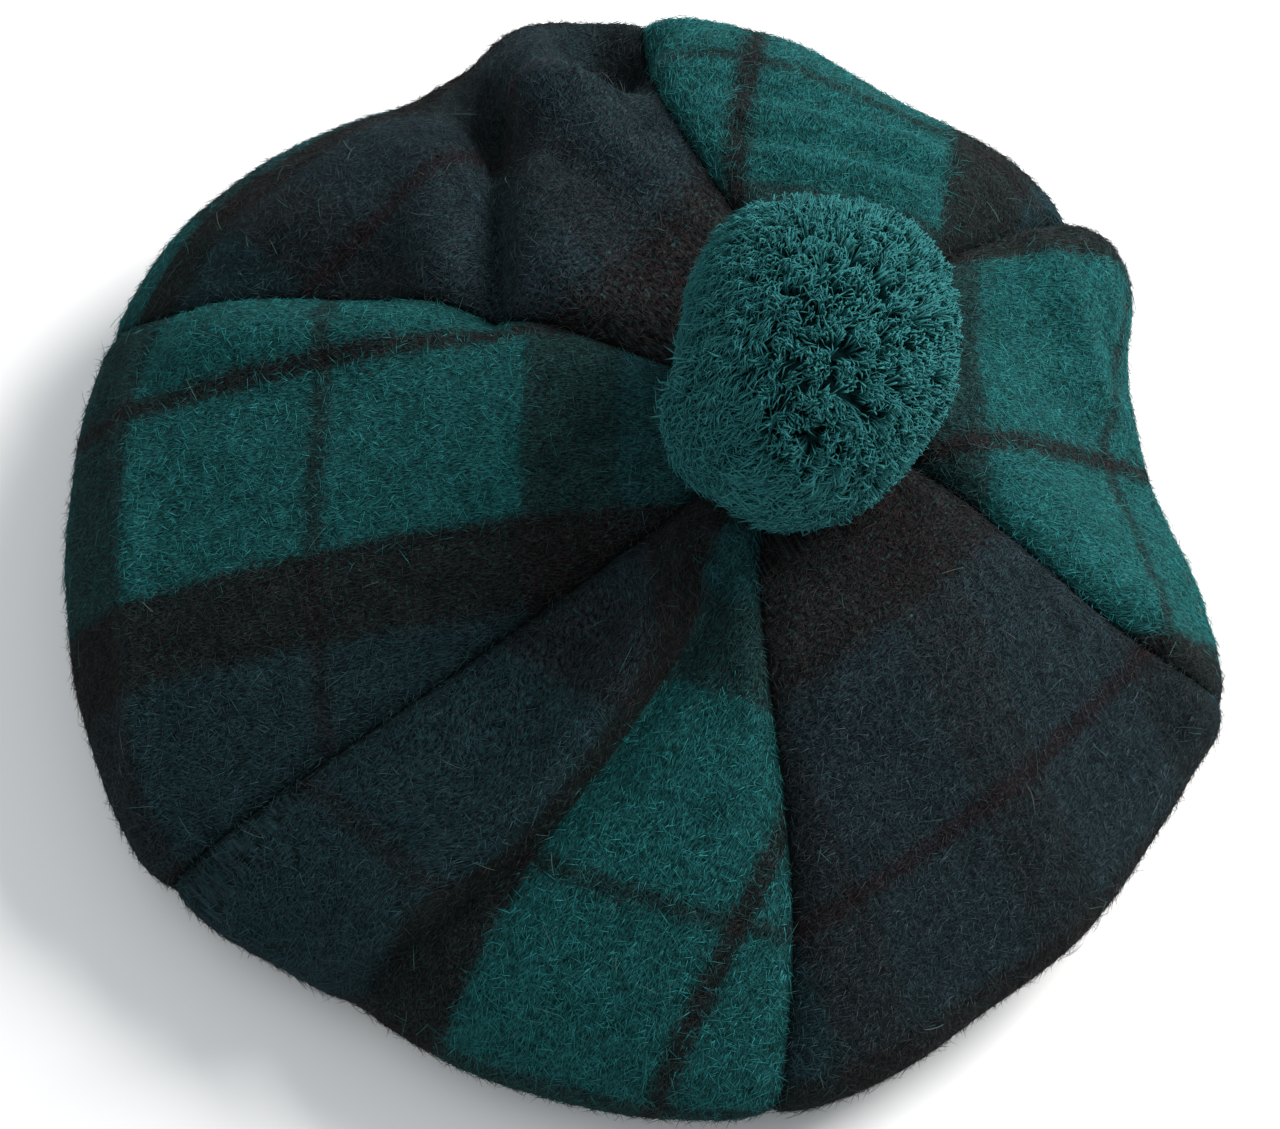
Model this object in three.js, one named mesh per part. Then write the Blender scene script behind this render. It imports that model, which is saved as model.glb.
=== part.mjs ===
// Tam o' shanter: a soft cap of six wool gores on a headband, with a wool pompom over the button.
// Millimetres, +Z up. The headband stands on z = 0 and the front of the cap faces -Y.
import * as THREE from 'three';

// ---- Main sizes ----
const WALL = 2.0;            // thickness of the brushed cloth
const SEAM_GAP = 0.3;        // opening left between one gore and the next
const BUTTON = { x: 36, y: 20, z: 90 };   // where the gores meet, under the pompom
const BAND = { x: -10, y: -4, inner: 90, wall: 3, height: 26 };
const BAND_GAP = 0.4;        // opening between the gores and the headband
const POMPOM = { x: 37.5, y: 18.5, base: 91, wide: 70, deep: 78, high: 61, seat: 0.76 };
const SEAM = { depth: 2.2, width: 4.5 };  // how far, and how widely, a seam draws the cloth in
const PUFF = 2.5;            // how far the middle of a gore stands out between its seams

// Seams: turn about the button in degrees near the button, halfway and at the rim,
// and turn about the headband's centre where the seam ends.
const SEAMS = [
  { inner: 60, middle: 52.5, rim: 48, band: 40 },
  { inner: 92, middle: 107, rim: 104, band: 100 },
  { inner: 153, middle: 157, rim: 164, band: 160 },
  { inner: 221, middle: 216, rim: 213, band: 220 },
  { inner: 256, middle: 269, rim: 268.5, band: 280 },
  { inner: 342, middle: 333.5, rim: 334.5, band: 340 },
];

// The crown by direction: turn about the button, reach of the rim from the button,
// brow (share of the reach, and height) where the top turns down into the side,
// height halfway to the rim, height of the rim, and height of the hanging underside.
const RIM = [
  { turn: 0, reach: 98, share: 0.82, brow: 42, middle: 81.5, rim: 18, hang: 4 },
  { turn: 14, reach: 95, share: 0.82, brow: 42, middle: 82, rim: 18, hang: 4 },
  { turn: 27, reach: 98, share: 0.84, brow: 46, middle: 83, rim: 20, hang: 5 },
  { turn: 38, reach: 112, share: 0.88, brow: 52, middle: 84, rim: 24, hang: 6 },
  { turn: 47, reach: 114, share: 0.88, brow: 46, middle: 82, rim: 28, hang: 8 },
  { turn: 58, reach: 115, share: 0.88, brow: 54, middle: 82, rim: 32, hang: 8 },
  { turn: 74, reach: 118, share: 0.88, brow: 58, middle: 83, rim: 33, hang: 10 },
  { turn: 90, reach: 132, share: 0.88, brow: 62, middle: 85, rim: 34, hang: 12 },
  { turn: 101, reach: 143, share: 0.88, brow: 62, middle: 85, rim: 34, hang: 12 },
  { turn: 109, reach: 148, share: 0.88, brow: 58, middle: 84, rim: 34, hang: 12 },
  { turn: 117, reach: 153, share: 0.88, brow: 64, middle: 84, rim: 34, hang: 12 },
  { turn: 127, reach: 149, share: 0.88, brow: 52, middle: 82, rim: 32, hang: 12 },
  { turn: 137, reach: 159, share: 0.88, brow: 54, middle: 82, rim: 30, hang: 10 },
  { turn: 150, reach: 173, share: 0.89, brow: 52, middle: 82, rim: 29, hang: 9 },
  { turn: 163, reach: 181, share: 0.90, brow: 48, middle: 80, rim: 27, hang: 7 },
  { turn: 180, reach: 181.5, share: 0.90, brow: 47, middle: 79, rim: 25, hang: 6 },
  { turn: 196, reach: 183, share: 0.90, brow: 46, middle: 78, rim: 24, hang: 5 },
  { turn: 212, reach: 182, share: 0.90, brow: 44, middle: 77, rim: 24, hang: 5 },
  { turn: 228, reach: 167, share: 0.89, brow: 44, middle: 77, rim: 24, hang: 5 },
  { turn: 245, reach: 162, share: 0.88, brow: 44, middle: 78, rim: 23, hang: 5 },
  { turn: 260, reach: 158, share: 0.88, brow: 44, middle: 79, rim: 22, hang: 5 },
  { turn: 275, reach: 151, share: 0.87, brow: 42, middle: 79, rim: 22, hang: 5 },
  { turn: 290, reach: 137, share: 0.86, brow: 42, middle: 79, rim: 22, hang: 5 },
  { turn: 308, reach: 126.5, share: 0.86, brow: 42, middle: 79, rim: 22, hang: 5 },
  { turn: 322, reach: 122, share: 0.86, brow: 44, middle: 79, rim: 23, hang: 5 },
  { turn: 335, reach: 119.5, share: 0.86, brow: 46, middle: 79, rim: 24, hang: 5 },
  { turn: 348, reach: 109, share: 0.84, brow: 44, middle: 80.5, rim: 20, hang: 5 },
];

// Ridges and hollows of the crown, each a line in plan from (x0, y0) to (x1, y1):
// half width, height (below zero for a hollow), and sideways bow at its middle.
const FOLDS = [
  { x0: -37, y0: 50, x1: -38, y1: 127, width: 8.5, height: -10, bow: 0 },
  { x0: -53, y0: 56, x1: -47, y1: 138, width: 9, height: 4, bow: 0 },
  { x0: -118, y0: 66, x1: -54, y1: 110, width: 18, height: 5, bow: 0 },
  { x0: -22, y0: 52, x1: -26, y1: 138, width: 12, height: 5, bow: 0 },
  { x0: -28, y0: 120, x1: 8, y1: 129, width: 9, height: 4, bow: 0 },
  { x0: -13, y0: 121, x1: -8, y1: 152, width: 12, height: -16, bow: 0 },
  { x0: 24, y0: 92, x1: 74, y1: 86, width: 9, height: 2, bow: 0 },
  { x0: 112, y0: 92, x1: 110, y1: 40, width: 12, height: 6, bow: 0 },
  { x0: 15, y0: -14, x1: -76, y1: -100, width: 10, height: 8, bow: 11 },
  { x0: 22, y0: -20, x1: -76, y1: -109, width: 7.5, height: -7, bow: 13 },
  { x0: 23, y0: -2, x1: 28, y1: -58, width: 6, height: 3, bow: 0 },
  { x0: -129, y0: 60, x1: -121, y1: -78, width: 7, height: 3, bow: 0 },
  { x0: -56, y0: 50, x1: -122, y1: 54, width: 9, height: 5, bow: 0 },
  { x0: -52, y0: 68, x1: -124, y1: 76, width: 8, height: -4, bow: 0 },
  { x0: 60, y0: -30, x1: 110, y1: -96, width: 16, height: 2.5, bow: 0 },
  { x0: 118, y0: -10, x1: 142, y1: -40, width: 9, height: 4, bow: 0 },
];

// A section of the crown passes these seven stations, spaced by the cloth between them:
// button, halfway, brow, rim, hanging underside, rise to the headband, headband.
const STATION = [0, 62, 118, 150, 182, 212, 238];
// Rows of the mesh along a section, closer together where the cloth turns under.
const ROWS = [5, 13, 22, 30, 38, 46, 54, 62, 70, 78, 86, 94, 102, 110, 118, 126, 134, 142,
  151, 161, 172, 184, 197, 210, 224, 238];
// Columns of the mesh across each gore, most where the cloth is most folded.
const COLUMNS = [12, 20, 11, 13, 10, 12];

const rad = (degrees) => degrees * Math.PI / 180;

function ease(x, from, to) {
  const k = Math.min(1, Math.max(0, (x - from) / (to - from)));
  return k * k * (3 - 2 * k);
}

// One cubic piece between two values with slopes.
function cubic(u, span, v0, v1, m0, m1) {
  const u2 = u * u;
  const u3 = u2 * u;
  return (2 * u3 - 3 * u2 + 1) * v0 + (u3 - 2 * u2 + u) * span * m0
    + (3 * u2 - 2 * u3) * v1 + (u3 - u2) * span * m1;
}

// A column of RIM as a smooth closed curve of the turn.
function around(column, turn) {
  const n = RIM.length;
  const at = (i) => RIM[((i % n) + n) % n].turn + 360 * Math.floor(i / n);
  const value = (i) => RIM[((i % n) + n) % n][column];
  const slope = (i) => {
    const h0 = at(i) - at(i - 1);
    const h1 = at(i + 1) - at(i);
    const d0 = (value(i) - value(i - 1)) / h0;
    const d1 = (value(i + 1) - value(i)) / h1;
    return (d0 * h1 + d1 * h0) / (h0 + h1);
  };
  const x = ((turn % 360) + 360) % 360;
  let i = 0;
  while (at(i + 1) <= x) i += 1;
  const span = at(i + 1) - at(i);
  return cubic((x - at(i)) / span, span, value(i), value(i + 1), slope(i), slope(i + 1));
}

// A smooth curve through one value at each station.
function along(values, s) {
  const last = STATION.length - 1;
  const rise = (i) => (values[i + 1] - values[i]) / (STATION[i + 1] - STATION[i]);
  const slope = (i) => {
    if (i === 0) return rise(0);
    if (i === last) return rise(last - 1);
    const h0 = STATION[i] - STATION[i - 1];
    const h1 = STATION[i + 1] - STATION[i];
    return (rise(i - 1) * h1 + rise(i) * h0) / (h0 + h1);
  };
  let i = 0;
  while (i < last - 1 && STATION[i + 1] <= s) i += 1;
  const span = STATION[i + 1] - STATION[i];
  return cubic((s - STATION[i]) / span, span, values[i], values[i + 1], slope(i), slope(i + 1));
}

// Turn about the button at place a round the gores (whole numbers are seams) and share t.
function turnAt(a, t) {
  const whole = Math.floor(a);
  const share = Math.min(1, Math.max(0.1, t));
  const seamTurn = (i) => {
    const row = SEAMS[((i % 6) + 6) % 6];
    const q0 = (share - 0.6) * (share - 1) / 0.32;
    const q1 = (share - 0.2) * (share - 1) / -0.16;
    const q2 = (share - 0.2) * (share - 0.6) / 0.32;
    return row.inner * q0 + row.middle * q1 + row.rim * q2 + 360 * Math.floor(i / 6);
  };
  return seamTurn(whole) + (seamTurn(whole + 1) - seamTurn(whole)) * (a - whole);
}

// The crown before folds: a round the gores, s along the section.
function crown(a, s) {
  const rimTurn = turnAt(a, 1);
  const hang = around('hang', rimTurn);
  const z = along([BUTTON.z, around('middle', rimTurn), around('brow', rimTurn),
    around('rim', rimTurn), hang, (hang + BAND.height) / 2 - 2, BAND.height], s);
  const t = along([0, 0.45, around('share', rimTurn), 1, 1, 1, 1], s);
  const u = along([0, 0, 0, 0, 0.34, 0.7, 1], s);
  const turn = rad(turnAt(a, t));
  const reach = around('reach', turnAt(a, t));
  const rimReach = around('reach', rimTurn);
  const bandTurn = rad(SEAMS[0].band + 60 * a);
  const bandReach = BAND.inner + BAND.wall + BAND_GAP;
  const inX = BAND.x + bandReach * Math.cos(bandTurn) - BUTTON.x
    - rimReach * Math.cos(rad(rimTurn));
  const inY = BAND.y + bandReach * Math.sin(bandTurn) - BUTTON.y
    - rimReach * Math.sin(rad(rimTurn));
  return new THREE.Vector3(
    BUTTON.x + t * reach * Math.cos(turn) + u * inX,
    BUTTON.y + t * reach * Math.sin(turn) + u * inY,
    z,
  );
}

function foldHeight(point, s) {
  let height = 0;
  for (const fold of FOLDS) {
    const length = Math.hypot(fold.x1 - fold.x0, fold.y1 - fold.y0);
    const ux = (fold.x1 - fold.x0) / length;
    const uy = (fold.y1 - fold.y0) / length;
    const px = point.x - fold.x0;
    const py = point.y - fold.y0;
    const k = (px * ux + py * uy) / length;
    const off = -px * uy + py * ux - fold.bow * 4 * k * (1 - k);
    const ends = ease(k, -0.12, 0.18) * (1 - ease(k, 0.82, 1.12));
    height += fold.height * ends * Math.exp(-((off / fold.width) ** 2));
  }
  return height * (1 - ease(s, STATION[3] - 10, STATION[3] + 20));
}

// The crown with its folds, its seams drawn in and its gores puffed out.
function cloth(a, s) {
  const point = crown(a, s);
  const across = crown(a + 0.001, s).sub(crown(a - 0.001, s)).divideScalar(0.002);
  const down = crown(a, s + 0.05).sub(crown(a, s - 0.05)).divideScalar(0.1);
  const out = new THREE.Vector3().crossVectors(down, across).normalize();
  const off = Math.abs(a - Math.round(a)) * across.length();
  const drawn = SEAM.depth * Math.exp(-((off / SEAM.width) ** 2)) * ease(s, 4, 40)
    * (1 - 0.6 * ease(s, STATION[4], STATION[6]));
  const puffed = PUFF * Math.sin(Math.PI * (a - Math.floor(a))) * ease(s, 10, 60)
    * (1 - ease(s, STATION[2], STATION[4]));
  const height = (foldHeight(point, s) + puffed - drawn)
    * ease(s, 2, 22) * (1 - ease(s, STATION[5], STATION[6] - 4));
  return point.addScaledVector(out, height);
}

function outward(a, s) {
  const across = cloth(a + 0.002, s).sub(cloth(a - 0.002, s));
  const down = cloth(a, s + 0.2).sub(cloth(a, s - 0.2));
  return new THREE.Vector3().crossVectors(down, across).normalize();
}

// A closed mesh from rings of points: every ring has the same count and closes on itself.
// turned(i, j) says which of its two diagonals splits the face after ring i and point j.
function bodyFromRings(rings, closedRound, turned) {
  const points = rings.flat();
  const count = rings[0].length;
  const faces = [];
  const last = closedRound ? rings.length : rings.length - 1;
  for (let i = 0; i < last; i += 1) {
    const next = (i + 1) % rings.length;
    for (let j = 0; j < count; j += 1) {
      const k = (j + 1) % count;
      const corner = [i * count + j, i * count + k, next * count + k, next * count + j];
      if (turned(i, j)) corner.push(corner.shift());
      faces.push(corner[0], corner[1], corner[2]);
      faces.push(corner[0], corner[2], corner[3]);
    }
  }
  if (!closedRound) {
    for (const [ring, flip] of [[0, true], [rings.length - 1, false]]) {
      for (let j = 1; j < count / 2; j += 1) {
        const a = ring * count + j - 1;
        const b = ring * count + j;
        const c = ring * count + count - 1 - j;
        const d = ring * count + count - j;
        if (flip) faces.push(a, d, c, a, c, b);
        else faces.push(a, c, d, a, b, c);
      }
    }
  }
  const geometry = new THREE.BufferGeometry();
  const flat = points.flatMap((p) => [p.x, p.y, p.z]);
  geometry.setAttribute('position', new THREE.Float32BufferAttribute(flat, 3));
  geometry.setIndex(faces);
  return geometry;
}

// One gore: rings across the cloth, outer face one way and inner face back.
function gore(first) {
  const rings = [];
  const columns = COLUMNS[first];
  for (const s of ROWS) {
    const outer = [];
    const inner = [];
    for (let j = 0; j <= columns; j += 1) {
      const edge = first + Math.round(j / columns);
      const span = crown(edge + 0.001, s).distanceTo(crown(edge - 0.001, s)) / 0.002;
      const inset = SEAM_GAP / 2 / span;
      const a = first + inset + (1 - 2 * inset) * j / columns;
      const point = cloth(a, s);
      outer.push(point);
      inner.unshift(point.clone().addScaledVector(outward(a, s), -WALL));
    }
    rings.push(outer.concat(inner).reverse());
  }
  // Each face is split along the diagonal that lies nearer to the cloth. The two edges
  // of a gore are split opposite ways, so that facing edges of two gores match.
  const turned = (i, j) => {
    if (j === columns) return true;
    if (j === 2 * columns + 1) return false;
    const column = j < columns ? j : 2 * columns - j;
    const outerSide = rings[i].length - 1 - column;
    const middle = cloth(first + (column + 0.5) / columns, (ROWS[i] + ROWS[i + 1]) / 2);
    const miss = (p, q) => p.clone().add(q).multiplyScalar(0.5).distanceTo(middle);
    const one = miss(rings[i][outerSide], rings[i + 1][outerSide - 1]);
    const other = miss(rings[i][outerSide - 1], rings[i + 1][outerSide]);
    return j < columns ? other < one : one < other;
  };
  return bodyFromRings(rings, false, turned);
}

// The headband: an upright ring of folded cloth with a softly rounded top edge.
function headband() {
  const rings = [];
  const count = 44;
  for (let i = 0; i < count; i += 1) {
    const turn = 2 * Math.PI * i / count;
    const section = [[0, BAND.height - 1], [0.8, BAND.height], [BAND.wall - 0.8, BAND.height],
      [BAND.wall, BAND.height - 1], [BAND.wall, 0], [0, 0]];
    rings.push(section.map(([out, z]) => new THREE.Vector3(
      BAND.x + (BAND.inner + out) * Math.cos(turn),
      BAND.y + (BAND.inner + out) * Math.sin(turn),
      z,
    )));
  }
  return bodyFromRings(rings, true, () => false);
}

// The pompom: a ball of wool, a little uneven, flattened where it sits on the button.
function pompom() {
  const columns = 24;
  const rows = 13;
  const half = POMPOM.high / (1 + POMPOM.seat);
  const centre = new THREE.Vector3(POMPOM.x, POMPOM.y, POMPOM.base + POMPOM.seat * half);
  const geometry = new THREE.SphereGeometry(1, columns, rows);
  const place = geometry.attributes.position;
  const p = new THREE.Vector3();
  for (let i = 0; i < place.count; i += 1) {
    // the sphere's poles are on Y, so its axis is turned to stand up along Z
    p.set(place.getX(i), -place.getZ(i), place.getY(i));
    const turn = Math.atan2(p.y, p.x);
    const level = Math.sqrt(Math.max(0, 1 - p.z * p.z));
    const lumps = 1 + level * (0.035 * Math.sin(3 * turn + 0.6) + 0.025 * Math.cos(5 * turn + 2.1)
      + 0.03 * Math.sin(2 * turn - 0.9) * p.z);
    p.set(p.x * lumps * POMPOM.wide / 2, p.y * lumps * POMPOM.deep / 2,
      Math.max(p.z, -POMPOM.seat) * half);
    place.setXYZ(i, centre.x + p.x, centre.y + p.y, centre.z + p.z);
  }
  return geometry;
}

function cloth3d(name, geometry, colour, roughness) {
  const material = new THREE.MeshStandardMaterial({ color: colour, roughness, metalness: 0 });
  const mesh = new THREE.Mesh(geometry, material);
  mesh.name = name;
  return mesh;
}

const GORES = ['gore_back_right', 'gore_back_left', 'gore_left', 'gore_front_left',
  'gore_front_right', 'gore_right'];

const tam = new THREE.Group();
tam.name = 'tam_o_shanter';
GORES.forEach((name, i) => tam.add(cloth3d(name, gore(i), i % 2 ? 0x2a3c42 : 0x1d5252, 0.95)));
tam.add(cloth3d('headband', headband(), 0x22343a, 0.95));
tam.add(cloth3d('pompom', pompom(), 0x1f6062, 1.0));

// The origin is under the middle of the whole cap, on the surface it stands on.
const box = new THREE.Box3().setFromObject(tam);
const middle = box.getCenter(new THREE.Vector3());
tam.children.forEach((mesh) => mesh.geometry.translate(-middle.x, -middle.y, 0));

export default tam;
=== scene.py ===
import math

import bmesh
import bpy
import numpy as np
from bpy.props import FloatProperty, FloatVectorProperty, IntProperty, PointerProperty
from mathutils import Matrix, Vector


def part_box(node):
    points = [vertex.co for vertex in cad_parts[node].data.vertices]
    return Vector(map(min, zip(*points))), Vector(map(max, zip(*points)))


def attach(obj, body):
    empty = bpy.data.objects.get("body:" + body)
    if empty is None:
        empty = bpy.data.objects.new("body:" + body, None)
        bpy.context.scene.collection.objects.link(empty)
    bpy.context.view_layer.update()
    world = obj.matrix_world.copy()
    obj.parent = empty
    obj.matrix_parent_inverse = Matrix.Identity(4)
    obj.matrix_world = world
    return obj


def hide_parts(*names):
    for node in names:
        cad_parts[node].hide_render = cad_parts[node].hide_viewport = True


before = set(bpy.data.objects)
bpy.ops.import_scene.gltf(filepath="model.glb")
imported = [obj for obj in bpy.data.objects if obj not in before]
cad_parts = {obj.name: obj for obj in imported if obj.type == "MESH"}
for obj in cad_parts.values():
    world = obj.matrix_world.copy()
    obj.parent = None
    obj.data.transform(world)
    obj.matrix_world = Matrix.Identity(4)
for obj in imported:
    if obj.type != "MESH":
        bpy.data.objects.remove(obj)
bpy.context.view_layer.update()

bl_info = {
    "name": "Tam o' Shanter",
    "version": (1, 0, 0),
    "blender": (4, 5, 0),
    "location": "3D View > Sidebar > Tam",
    "description": "A soft wool cap of six tartan gores on a headband, with a wool pompom",
    "category": "Add Mesh",
}

MM = 0.001

# ---- The cut and lie of the cap, in millimetres, about the headband ----
BUTTON = (36.0, 20.0, 90.0)     # where the gores meet
BAND = {"x": -10.0, "y": -4.0, "inner": 90.0, "wall": 3.0, "height": 26.0, "gap": 0.4}
BAND_FOLD = {"layer": 1.35, "bend": 0.75, "stitch": 5.0, "stitch_width": 1.1, "drawn": 0.55}
POMPOM = {"x": 37.5, "y": 18.5, "base": 91.0, "wide": 70.0, "deep": 78.0, "high": 61.0, "seat": 0.76}
POMPOM_HALF = POMPOM["high"] / (1 + POMPOM["seat"])     # from its middle up to its top
SEAM_GAP = 0.06                 # opening between one gore and the next
STITCH = {"depth": 1.3, "width": 1.1}                   # the groove right at a seam's stitching
HAIR = {"radius": 0.065, "shortest": 3.5, "longest": 8.5, "points": 6}
DRAG = {"near": 1.3, "far": 5.0, "far_share": 0.2}      # how brushing moves fibres over the tartan

GORES = ("back_right", "back_left", "left", "front_left", "front_right", "right")

# Turn of each seam about the button in degrees: near it, halfway and at the rim;
# then its turn about the middle of the headband.
SEAM_COLUMNS = ("inner", "middle", "rim", "band")
SEAM_ROWS = (
    (60, 52.5, 48, 40),
    (92, 107, 104, 100),
    (153, 157, 164, 160),
    (221, 216, 213, 220),
    (256, 269, 268.5, 280),
    (342, 333.5, 334.5, 340),
)

# The crown by direction: turn about the button, reach of the rim, share of the reach and height
# of the brow, height halfway out, height of the rim and of the hanging underside.
RIM_COLUMNS = ("turn", "reach", "share", "brow", "middle", "rim", "hang")
RIM_ROWS = (
    (0, 98, 0.82, 42, 81.5, 18, 4),
    (14, 95, 0.82, 42, 82, 18, 4),
    (27, 98, 0.84, 46, 83, 20, 5),
    (38, 112, 0.88, 52, 84, 24, 6),
    (47, 114, 0.88, 46, 82, 28, 8),
    (58, 115, 0.88, 54, 82, 32, 8),
    (74, 118, 0.88, 58, 83, 33, 10),
    (90, 132, 0.88, 62, 85, 34, 12),
    (101, 143, 0.88, 62, 85, 34, 12),
    (109, 148, 0.88, 58, 84, 34, 12),
    (117, 153, 0.88, 64, 84, 34, 12),
    (127, 149, 0.88, 52, 82, 32, 12),
    (137, 159, 0.88, 54, 82, 30, 10),
    (150, 173, 0.89, 52, 82, 29, 9),
    (163, 181, 0.90, 48, 80, 27, 7),
    (180, 181.5, 0.90, 47, 79, 25, 6),
    (196, 183, 0.90, 46, 78, 24, 5),
    (212, 182, 0.90, 44, 77, 24, 5),
    (228, 167, 0.89, 44, 77, 24, 5),
    (245, 162, 0.88, 44, 78, 23, 5),
    (260, 158, 0.88, 44, 79, 22, 5),
    (275, 151, 0.87, 42, 79, 22, 5),
    (290, 137, 0.86, 42, 79, 22, 5),
    (308, 126.5, 0.86, 42, 79, 22, 5),
    (322, 122, 0.86, 44, 79, 23, 5),
    (335, 119.5, 0.86, 46, 79, 24, 5),
    (348, 109, 0.84, 44, 80.5, 20, 5),
)

# Ridges and hollows, each along a line in plan: half width, height, sideways bow at the middle,
# and how round its top is (2 is round, nearer 1 is a crease).
FOLD_COLUMNS = ("x0", "y0", "x1", "y1", "width", "height", "bow", "round")
FOLD_ROWS = (
    # back left
    (-37.5, 50, -37.5, 126, 5.5, -9, 0, 1.3),
    (-53, 56, -47, 138, 9, 4.5, 0, 2),
    (-118, 66, -54, 110, 18, 5, 0, 2),
    (-22, 52, -26, 138, 12, 5, 0, 2),
    (-28, 120, 8, 129, 7, 4, 0, 1.6),
    (-13, 121, -8, 152, 12, -17, 0, 1.8),
    # back right
    (22, 118, 76, 112, 4, -2.0, 0, 2),
    (22, 109, 76, 104, 4.5, 2.6, 0, 2),
    (24, 101, 74, 97, 4, -2.6, 0, 1.6),
    (26, 94, 72, 90, 4.5, 2.6, 0, 2),
    (28, 87, 66, 82, 4, -2.2, 0, 1.6),
    # right
    (112, 92, 110, 40, 12, 6, 0, 2),
    (96, 86, 110, 44, 3.5, 1.8, 0, 1.6),
    (104, 88, 117, 50, 3, -1.5, 0, 1.6),
    # front left
    (15, -14, -76, -100, 8, 8, 11, 1.7),
    (22, -20, -76, -109, 5.5, -8, 13, 1.4),
    (23, -2, 28, -58, 6, 3, 0, 2),
    # left
    (-129, 60, -121, -78, 4.5, 3.2, 0, 1.4),
    (-56, 50, -122, 54, 9, 5, 0, 2),
    (-52, 68, -124, 76, 8, -4, 0, 2),
    (-50, 50, -52, 10, 3.5, 1.2, 0, 1.6),
    # front right
    (60, -30, 110, -96, 16, 2.5, 0, 2),
    (118, -10, 142, -40, 9, 4, 0, 2),
)

# How far the pompom's pile reaches beyond a plain round, by direction in plan.
PILE_COLUMNS = ("turn", "share")
PILE_ROWS = (
    (18, 1.07), (36, 1.11), (52, 1.11), (75, 1.08), (104, 1.05), (122, 0.92), (142, 0.85),
    (161, 0.83), (181, 0.86), (196, 1.02), (216, 1.09), (238, 0.97), (260, 0.96), (280, 0.96),
    (302, 0.97), (327, 0.91), (341, 0.94), (357, 1.01),
)

# A section of the crown passes these stations, spaced by the cloth between them:
# button, halfway, brow, rim, hanging underside, rise to the headband, headband.
STATION = np.array([0, 62, 118, 150, 182, 212, 238], float)

# How each gore was cut from the tartan: the place across the strong stripes is
# strong_x * X + strong_y * Y - strong_0, where X runs across the flat gore and Y down it.
# drawn_y and drawn_x bow those stripes where the cloth is pulled out of square, and least is
# the nearest that they come to the middle of the green (FREE where nothing holds them off).
# The weak stripes are straight. Then the flat gore's width and length, and its area.
FREE = -999
CUT_COLUMNS = ("strong_x", "strong_y", "strong_0", "drawn_y", "drawn_x", "least",
               "weak_x", "weak_y", "weak_0", "width", "length", "area")
CUT_ROWS = (
    (-0.935, 0.144, -12.3, 0.00, 0.00, FREE, -0.227, -1.159, -132.4, 130, 241, 19900),
    (-0.015, 0.926, -10.2, 0.64, -0.30, 56, -1.061, -0.088, -127.0, 170, 273, 27000),
    (-1.018, -0.076, 30.6, 0.00, 0.00, FREE, 0.165, -0.995, -122.8, 154, 265, 27500),
    (-1.017, -0.047, -58.9, 0.00, 0.00, FREE, -0.096, -1.010, -132.5, 160, 235, 22500),
    (0.093, 1.051, -8.7, 0.33, 0.00, 56, 1.174, 0.061, -115.3, 153, 230, 21900),
    (1.011, -0.136, -22.3, 0.00, 0.00, FREE, 0.153, -0.962, -102.6, 145, 211, 20650),
)

# Cloth taken up out of sight by a deep fold: along a line in plan, how far the tartan jumps
# across the strong and the weak stripes, how far beside the line the jump is spread out again,
# and the furthest the strong stripes reach.
TUCK_COLUMNS = ("gore", "x0", "y0", "x1", "y1", "bow", "strong", "weak", "spread", "most")
TUCK_ROWS = (
    (3, 21, -19, -76, -107, 12.5, 23, 11, 36, 112),
)

# The tartan's stripes: half width of the line in the green, then the far edge of each stripe
# from the middle of the green, in the strong yarns and in the weak ones.
STRONG_STRIPES = (("line", 3.0), ("green", 53.0), ("black", 77.0), ("navy", 122.0), ("purple", 125.0))
WEAK_STRIPES = (("line", 3.0), ("green", 53.0), ("black", 77.0), ("navy", 118.0), ("black", 130.0))


def table(columns, rows):
    return {name: np.array([row[i] for row in rows], float) for i, name in enumerate(columns)}


SEAMS = table(SEAM_COLUMNS, SEAM_ROWS)
RIM = table(RIM_COLUMNS, RIM_ROWS)
PILE = table(PILE_COLUMNS, PILE_ROWS)
FOLDS = [dict(zip(FOLD_COLUMNS, row)) for row in FOLD_ROWS]
CUTS = [dict(zip(CUT_COLUMNS, row)) for row in CUT_ROWS]
TUCKS = [dict(zip(TUCK_COLUMNS, row)) for row in TUCK_ROWS]


# ---- Sizes and colours a maker may change ----
class ClothSizes(bpy.types.PropertyGroup):
    thickness: FloatProperty(name="Cloth thickness", description="Thickness of the brushed cloth",
                             default=2.0 * MM, min=0.5 * MM, max=4 * MM, unit="LENGTH")
    puff: FloatProperty(name="Puff", description="How far the middle of a gore stands out",
                        default=2.5 * MM, min=0, max=10 * MM, unit="LENGTH")
    seam_depth: FloatProperty(name="Seam depth", description="How far a seam draws the cloth in",
                              default=2.2 * MM, min=0, max=6 * MM, unit="LENGTH")
    seam_width: FloatProperty(name="Seam width", description="How widely a seam draws the cloth in",
                              default=4.5 * MM, min=1 * MM, max=12 * MM, unit="LENGTH")
    nap_length: FloatProperty(name="Nap length", description="Length of the brushed fibres",
                              default=4.2 * MM, min=0.5 * MM, max=10 * MM, unit="LENGTH")
    nap_radius: FloatProperty(name="Nap radius", description="Thickness of a brushed fibre, halved",
                              default=0.10 * MM, min=0.01 * MM, max=0.3 * MM, unit="LENGTH")
    hair_count: IntProperty(name="Loose hairs", description="Long loose fibres on each gore",
                            default=70, min=1, max=1000)
    nap_count: IntProperty(name="Nap fibres", description="Brushed fibres on each gore",
                           default=16000, min=0, max=45000)


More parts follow.
